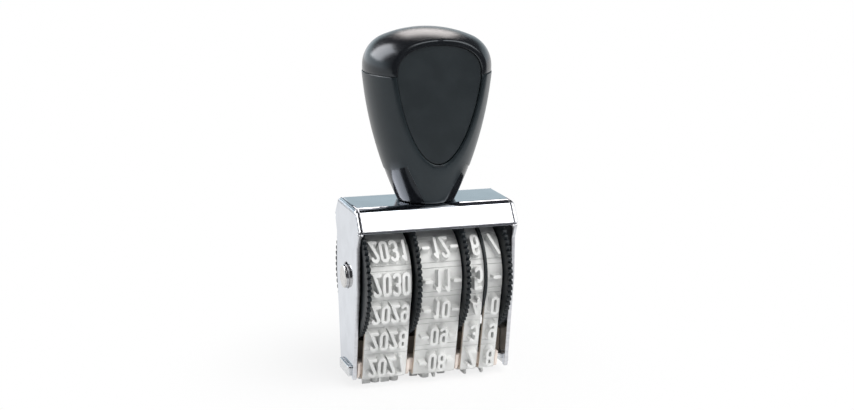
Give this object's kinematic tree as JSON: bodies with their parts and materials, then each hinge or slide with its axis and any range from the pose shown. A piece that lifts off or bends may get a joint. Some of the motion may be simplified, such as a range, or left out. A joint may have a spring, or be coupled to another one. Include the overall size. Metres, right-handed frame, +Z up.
{
  "type": "date stamp",
  "caption": "Hand date stamp with turning rubber bands, toothed setting wheels, a bent sheet frame and a pear-shaped handle.",
  "frame": {"origin": "middle of the foot, on the plane of the type faces", "axes": "+Z up along the handle, +X along the printed line, from year to day, -Y towards the side that the date is set from"},
  "size_m": [0.0336, 0.0242, 0.0693],
  "materials": {
    "frame_steel": "bright plated sheet steel",
    "axle_steel": "bright steel rod",
    "bar_steel": "plain steel",
    "wheel_plastic": "black moulded plastic",
    "band_rubber": "light grey rubber",
    "bridge_plastic": "beige moulded plastic",
    "handle_satin": "dark satin plastic",
    "handle_gloss": "dark glossy plastic",
    "panel_satin": "dark fine-grained plastic"
  },
  "bodies": {
    "stand": {"frame": "frame_steel", "axle": "axle_steel", "divider": "wheel_plastic", "spacer": "wheel_plastic", "year_band": "band_rubber", "month_band": "band_rubber", "tens_band": "band_rubber", "units_band": "band_rubber", "bridge": "bridge_plastic", "bridge_bar": "bar_steel", "handle_body": "handle_satin", "handle_cap": "handle_gloss", "front_panel": "panel_satin", "rear_panel": "panel_satin", "handle_screw": "bar_steel", "screw_washer": "bar_steel"},
    "year_setting": {"year_wheel": "wheel_plastic"},
    "month_setting": {"month_wheel": "wheel_plastic"},
    "tens_setting": {"tens_wheel": "wheel_plastic"},
    "units_setting": {"units_wheel": "wheel_plastic"}
  },
  "joints": [
    {"name": "year_turn", "type": "hinge", "parent": "stand", "child": "year_setting", "pos_m": [-0.01, 0, 0.0214], "axis": [1, 0, 0], "continuous": true},
    {"name": "month_turn", "type": "hinge", "parent": "stand", "child": "month_setting", "pos_m": [0, 0, 0.0214], "axis": [1, 0, 0], "continuous": true},
    {"name": "tens_turn", "type": "hinge", "parent": "stand", "child": "tens_setting", "pos_m": [0.0065, 0, 0.0214], "axis": [1, 0, 0], "continuous": true},
    {"name": "units_turn", "type": "hinge", "parent": "stand", "child": "units_setting", "pos_m": [0.0115, 0, 0.0214], "axis": [1, 0, 0], "continuous": true}
  ]
}
